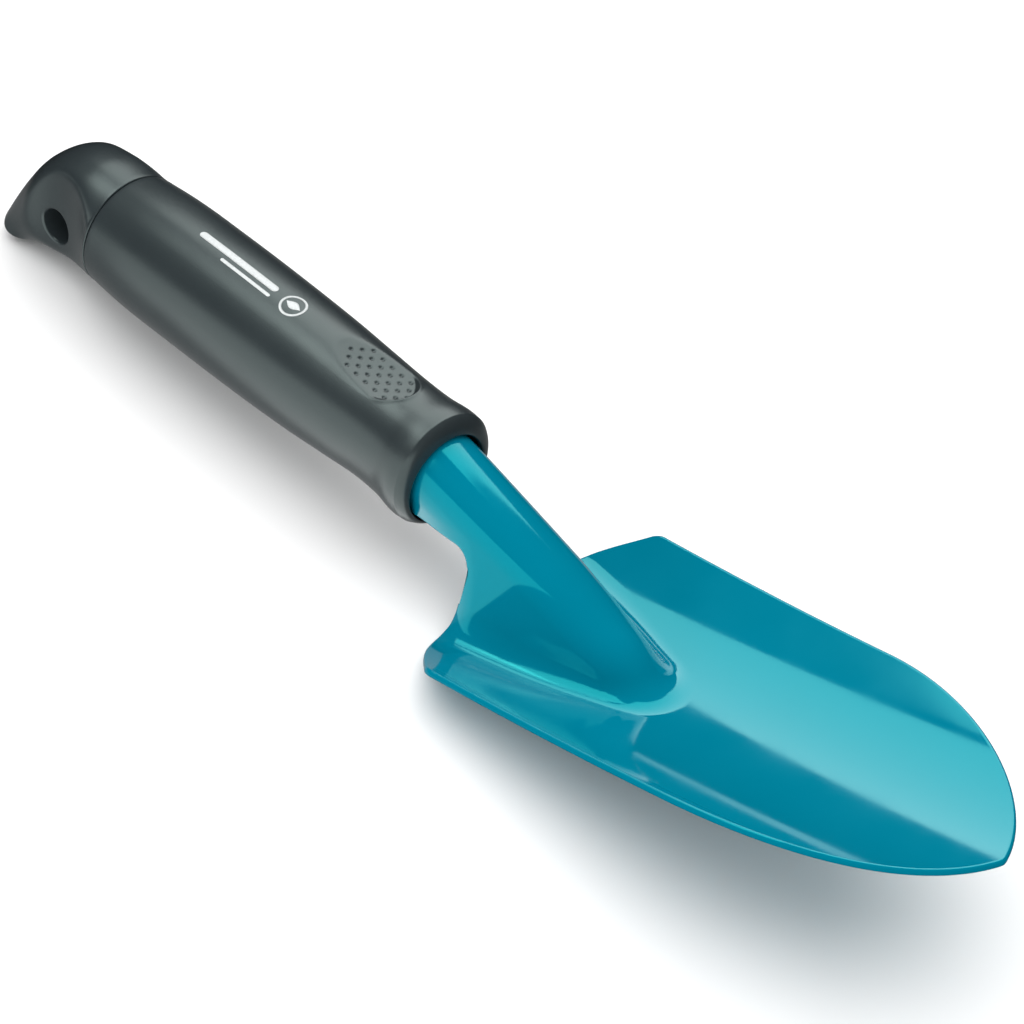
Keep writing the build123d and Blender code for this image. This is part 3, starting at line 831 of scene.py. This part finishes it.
def locate(a, u, side):
    """Shares and angles (t, turn) of the points of one side of the cap at (A, U), by Newton's method."""
    t = np.full(a.shape, 0.45)
    turn = np.full(a.shape, side * (pi / 2 + 0.2))
    step = 1e-4
    for _ in range(30):
        a0, _, u0 = cap_skin(t, turn)
        a1, _, u1 = cap_skin(t + step, turn)
        a2, _, u2 = cap_skin(t, turn + step)
        a_per_t = (a1 - a0) / step
        u_per_t = (u1 - u0) / step
        a_per_turn = (a2 - a0) / step
        u_per_turn = (u2 - u0) / step
        det = a_per_t * u_per_turn - a_per_turn * u_per_t
        more_t = ((a - a0) * u_per_turn - (u - u0) * a_per_turn) / det
        more_turn = (a_per_t * (u - u0) - u_per_t * (a - a0)) / det
        t = np.clip(t + NEWTON_EASE * more_t, 0.02, 0.85)
        turn = turn + NEWTON_EASE * more_turn
    return t, turn


def cap_shares():
    """Shares along the cap's sections, even at first and then closing in on the lip's end."""
    even = np.linspace(CAP_START, CAP_CLOSE, CAP_ROWS)
    closing = np.sin(np.linspace(0, pi / 2, CAP_LIP_ROWS + 2))[1:-1]
    return np.concatenate((even, CAP_CLOSE + (1 - CAP_CLOSE) * closing))


def cap_grid(shares):
    """Grid of points (A, Y, U) from the seam's groove over its rounded edge and the skin to the lip."""
    turns = np.arange(CAP_COLUMNS) * 2 * pi / CAP_COLUMNS
    t, turn = np.meshgrid(shares, turns, indexing="ij")
    skin = np.stack(cap_skin(t, turn), -1)
    edge = [(SEAM_GAP, -SEAM_DEPTH)]
    for angle in np.linspace(0, pi / 2, EDGE_STEPS):
        edge.append((SEAM_GAP + EDGE_ROUND * (1 - cos(angle)), -EDGE_ROUND * (1 - sin(angle))))
    radius = CAP_SECTIONS[0][2]
    lead = [[(a, (radius + out) * sin(w), (radius + out) * cos(w)) for w in turns] for a, out in edge]
    return np.concatenate((lead, skin))


def round_hole(radius, turn):
    """Points (A, U) at radii and angles round the hang hole's axis."""
    return HANG_HOLE[0] + radius * np.cos(turn), HANG_HOLE[1] + radius * np.sin(turn)


def hole_block(shares, lead, side):
    """The block of the cap's cells that one end of the hole opens, and the places round its edge."""
    reach = HANG_HOLE_RADIUS + HOLE_ROUND + HOLE_MARGIN
    t, turn = locate(*round_hole(reach, np.linspace(0, 2 * pi, 60, endpoint=False)), side)
    column = np.mod(turn, 2 * pi) / (2 * pi) * CAP_COLUMNS
    i0 = lead + int(np.searchsorted(shares, t.min())) - 1
    i1 = lead + int(np.searchsorted(shares, t.max())) + 1
    j0 = int(column.min())
    j1 = int(column.max()) + 1
    cells = {(i, j) for i in range(i0, i1) for j in range(j0, j1)}
    edge = [(i0 + i, j0 + j) for i, j in grid_edge(i1 - i0 + 1, j1 - j0 + 1)]
    return cells, edge


def add_points(points, a, y, u):
    """Adds a ring's points to a list and gives their numbers."""
    points += list(zip(a, y, u))
    return range(len(points) - len(a), len(points))


def hole_rings(points, index, side):
    """Rings from the opened block's edge over the skin to the hole's rim and round into it, and the
    angles of their points. The new points are added to the list."""
    away = np.array([points[k] for k in index])[:, [0, 2]] - HANG_HOLE
    angle = np.unwrap(np.arctan2(away[:, 1], away[:, 0]))
    even = angle[0] + np.arange(len(angle)) * math.copysign(2 * pi / len(angle), angle[-1] - angle[0])
    even += np.mean(angle - even)
    start = np.hypot(away[:, 0], away[:, 1])
    rim = HANG_HOLE_RADIUS + HOLE_ROUND
    rings = [index]
    for part in np.linspace(0, 1, HOLE_RINGS)[1:]:
        a, u = round_hole(start * (1 - part) + rim * part, angle + (even - angle) * part)
        y = cap_skin(*locate(a, u, side))[1]
        rings.append(add_points(points, a, y, u))
    rim_y = y
    for lean in np.linspace(0, pi / 2, HOLE_ROUND_STEPS)[1:]:
        a, u = round_hole(rim - HOLE_ROUND * sin(lean), even)
        y = rim_y - side * HOLE_ROUND * (1 - cos(lean))
        rings.append(add_points(points, a, y, u))
    return rings, even


def join_ends(ends):
    """Quads between the two ends of the hole's wall, matched by angle."""
    (one, angle_one), (two, angle_two) = ends
    if len(one) != len(two):
        raise ValueError("the hole's two ends have different counts")
    count = len(one)
    gaps = np.abs(np.mod(angle_two - angle_one[0] + pi, 2 * pi) - pi)
    offset = int(np.argmin(gaps))
    way = -1 if (angle_two[1] - angle_two[0]) * (angle_one[1] - angle_one[0]) < 0 else 1
    faces = []
    for k in range(count):
        n = (k + 1) % count
        faces.append((one[k], one[n], two[(offset + way * n) % count], two[(offset + way * k) % count]))
    return faces


def compact(points, faces):
    """Points and faces without the points that no face uses."""
    used = sorted({v for face in faces for v in face})
    number = {v: n for n, v in enumerate(used)}
    return np.array([points[v] for v in used]), [tuple(number[v] for v in face) for face in faces]


def build_cap(material):
    """One skin: the seam's edge, the cap, its closed lip, and the hang hole with its rounded rims."""
    shares = cap_shares()
    grid = cap_grid(shares)
    rows = len(grid)
    points = [tuple(point) for point in grid.reshape(-1, 3)]
    sides = (1, -1)
    blocks = [hole_block(shares, rows - len(shares), side) for side in sides]
    opened = blocks[0][0] | blocks[1][0]
    faces = grid_faces(rows, CAP_COLUMNS, wrap=True, flip=True)
    faces = [face for n, face in enumerate(faces) if divmod(n, CAP_COLUMNS) not in opened]

    # close the lip
    points.append(tuple(grid[-1].mean(0)))
    last = (rows - 1) * CAP_COLUMNS
    faces += [(last + (j + 1) % CAP_COLUMNS, last + j, len(points) - 1) for j in range(CAP_COLUMNS)]

    ends = []
    for side, (_, edge) in zip(sides, blocks):
        rings, angle = hole_rings(points, [i * CAP_COLUMNS + j for i, j in edge], side)
        faces += join_rings(rings, flip=True)
        ends.append((rings[-1], angle))
    faces += join_ends(ends)
    used, faces = compact(points, faces)
    placed = from_handle(SEAM + used[:, 0], used[:, 1], used[:, 2])
    return new_piece("rear_cap", placed, faces, material, "end_cap")


# ---------------------------------------------------------------- materials

def new_material(name, color, roughness):
    material = bpy.data.materials.new(name)
    material.use_nodes = True
    tree = material.node_tree
    shader = tree.nodes["Principled BSDF"]
    shader.inputs["Base Color"].default_value = (*color, 1)
    shader.inputs["Roughness"].default_value = roughness
    return material, tree, shader


def add_noise(tree, scale, detail):
    place = tree.nodes.new("ShaderNodeTexCoord")
    noise = tree.nodes.new("ShaderNodeTexNoise")
    noise.inputs["Scale"].default_value = scale
    noise.inputs["Detail"].default_value = detail
    tree.links.new(place.outputs["Object"], noise.inputs["Vector"])
    return noise


def vary(tree, source, low, high, target):
    """Runs a noise through a range of values into a socket."""
    spread = tree.nodes.new("ShaderNodeMapRange")
    spread.inputs["From Min"].default_value = NOISE_RANGE[0]
    spread.inputs["From Max"].default_value = NOISE_RANGE[1]
    spread.inputs["To Min"].default_value = low
    spread.inputs["To Max"].default_value = high
    tree.links.new(source, spread.inputs["Value"])
    tree.links.new(spread.outputs["Result"], target)


def vary_color(tree, source, low, high, target):
    """Mixes two colours by a noise into a socket; 6, 7 and 2 are the mix node's colour sockets."""
    mix = tree.nodes.new("ShaderNodeMix")
    mix.data_type = "RGBA"
    mix.inputs[6].default_value = (*low, 1)
    mix.inputs[7].default_value = (*high, 1)
    tree.links.new(source, mix.inputs[0])
    tree.links.new(mix.outputs[2], target)


def add_bump(tree, source, distance, strength, shader):
    bump = tree.nodes.new("ShaderNodeBump")
    bump.inputs["Distance"].default_value = distance
    bump.inputs["Strength"].default_value = strength
    tree.links.new(source, bump.inputs["Height"])
    tree.links.new(bump.outputs["Normal"], shader.inputs["Normal"])


def coated_steel():
    """Glossy powder coat: saturated blue-green, a clear top, and faint orange peel."""
    material, tree, shader = new_material("coated_steel", COAT_COLOR, COAT_ROUGHNESS)
    cloud = add_noise(tree, 60, 3)
    vary_color(tree, cloud.outputs["Fac"], COAT_DARK, COAT_COLOR, shader.inputs["Base Color"])
    vary(tree, cloud.outputs["Fac"], COAT_ROUGHNESS - 0.02, COAT_ROUGHNESS + 0.03, shader.inputs["Roughness"])
    peel = add_noise(tree, 900, 2)
    add_bump(tree, peel.outputs["Fac"], 0.00002, 0.08, shader)
    shader.inputs["IOR"].default_value = COAT_IOR
    shader.inputs["Specular Tint"].default_value = (*COAT_TINT, 1)
    return material


def satin_plastic(name, color, dark):
    """Soft-touch plastic: fine grain, and slight changes of shade and gloss."""
    material, tree, shader = new_material(name, color, PLASTIC_ROUGHNESS)
    cloud = add_noise(tree, 45, 4)
    vary_color(tree, cloud.outputs["Fac"], dark, color, shader.inputs["Base Color"])
    vary(tree, cloud.outputs["Fac"], PLASTIC_ROUGHNESS - 0.02, PLASTIC_ROUGHNESS + 0.02,
         shader.inputs["Roughness"])
    grain = add_noise(tree, 3200, 2)
    add_bump(tree, grain.outputs["Fac"], 0.00005, 0.35, shader)
    shader.inputs["Specular Tint"].default_value = (*PLASTIC_TINT, 1)
    return material


def white_ink():
    """Pad-printed ink: pale, thin and a little worn, so that it is duller in specks."""
    material, tree, shader = new_material("white_ink", INK_COLOR, INK_ROUGHNESS)
    wear = add_noise(tree, 1500, 3)
    vary_color(tree, wear.outputs["Fac"], INK_WORN, INK_COLOR, shader.inputs["Base Color"])
    add_bump(tree, wear.outputs["Fac"], 0.00003, 0.3, shader)
    return material


def pale_floor():
    material, tree, shader = new_material("pale_floor", FLOOR_COLOR, FLOOR_ROUGHNESS)
    speck = add_noise(tree, 30, 3)
    vary_color(tree, speck.outputs["Fac"], FLOOR_DARK, FLOOR_COLOR, shader.inputs["Base Color"])
    return material


# ---------------------------------------------------------------- floor, light and camera

def build_floor(material):
    """A flat square at the row frame's zero height. Gloss doesn't show it, so the coat stays clear."""
    mesh = bpy.data.meshes.new("floor")
    corners = [(x * FLOOR_HALF, y * FLOOR_HALF, 0) for x, y in ((-1, -1), (1, -1), (1, 1), (-1, 1))]
    mesh.from_pydata(corners, [], [(0, 1, 2, 3)])
    mesh.materials.append(material)
    floor = bpy.data.objects.new("floor", mesh)
    floor.visible_glossy = False
    bpy.context.scene.collection.objects.link(floor)


def orient(across, upright, back, place):
    """A matrix whose local X, Y and Z run along three directions, at a place from the tool's origin."""
    matrix = Matrix((across, upright, back)).transposed().to_4x4()
    matrix.translation = Vector(place) + Vector(SHIFT)
    return matrix


def softbox(name, centre, facing, size, radiance, reach):
    """A rectangular light. facing is the turn, rise and roll, in degrees, of the line from its front
    back through it."""
    data = bpy.data.lights.new(name, "AREA")
    data.shape = "RECTANGLE"
    data.size, data.size_y = size
    data.energy = radiance * pi * size[0] * size[1]
    light = bpy.data.objects.new(name, data)
    turn, rise, roll = [radians(angle) for angle in facing]
    behind = Vector((cos(rise) * cos(turn), cos(rise) * sin(turn), sin(rise)))
    level = Vector((-sin(turn), cos(turn), 0))
    across = level * cos(roll) + behind.cross(level) * sin(roll)
    light.matrix_world = orient(across, behind.cross(across), behind, centre)
    light.visible_diffuse = reach == "shade"
    light.visible_glossy = reach == "gloss"
    bpy.context.scene.collection.objects.link(light)


def build_world(strength):
    """An even white sky. Like the floor, it lights the object and doesn't show in its gloss."""
    world = bpy.data.worlds.new("studio")
    bpy.context.scene.world = world
    world.use_nodes = True
    background = world.node_tree.nodes["Background"]
    background.inputs["Color"].default_value = (1, 1, 1, 1)
    background.inputs["Strength"].default_value = strength
    world.cycles_visibility.glossy = False


def build_camera():
    data = bpy.data.cameras.new("camera")
    data.lens = LENS
    data.sensor_width = SENSOR_WIDTH
    data.clip_end = 50
    camera = bpy.data.objects.new("camera", data)
    back = Vector((sin(CAMERA_TURN) * cos(CAMERA_RISE), -cos(CAMERA_TURN) * cos(CAMERA_RISE),
                   sin(CAMERA_RISE)))
    level = Vector((cos(CAMERA_TURN), sin(CAMERA_TURN), 0))
    right = level * cos(CAMERA_ROLL) + back.cross(level) * sin(CAMERA_ROLL)
    camera.matrix_world = orient(right, back.cross(right), back, Vector(CAMERA_AIM) + back * CAMERA_DISTANCE)
    bpy.context.scene.collection.objects.link(camera)
    bpy.context.scene.camera = camera


# ---------------------------------------------------------------- the whole scene

SHIFT = find_shift()
build_camera()
build_scoop(coated_steel())
build_grip(satin_plastic("grip_plastic", GRIP_COLOR, GRIP_DARK))
build_cap(satin_plastic("cap_plastic", GRIP_COLOR, GRIP_DARK))
build_mark(white_ink())
core_plastic = satin_plastic("core_plastic", CORE_COLOR, CORE_DARK)
for slot in frame["nodes"]["handle_core"].material_slots:
    slot.material = core_plastic
build_floor(pale_floor())
build_world(WORLD_STRENGTH)
for light in SOFTBOXES:
    softbox(*light)
bpy.context.scene.view_settings.view_transform = "Standard"
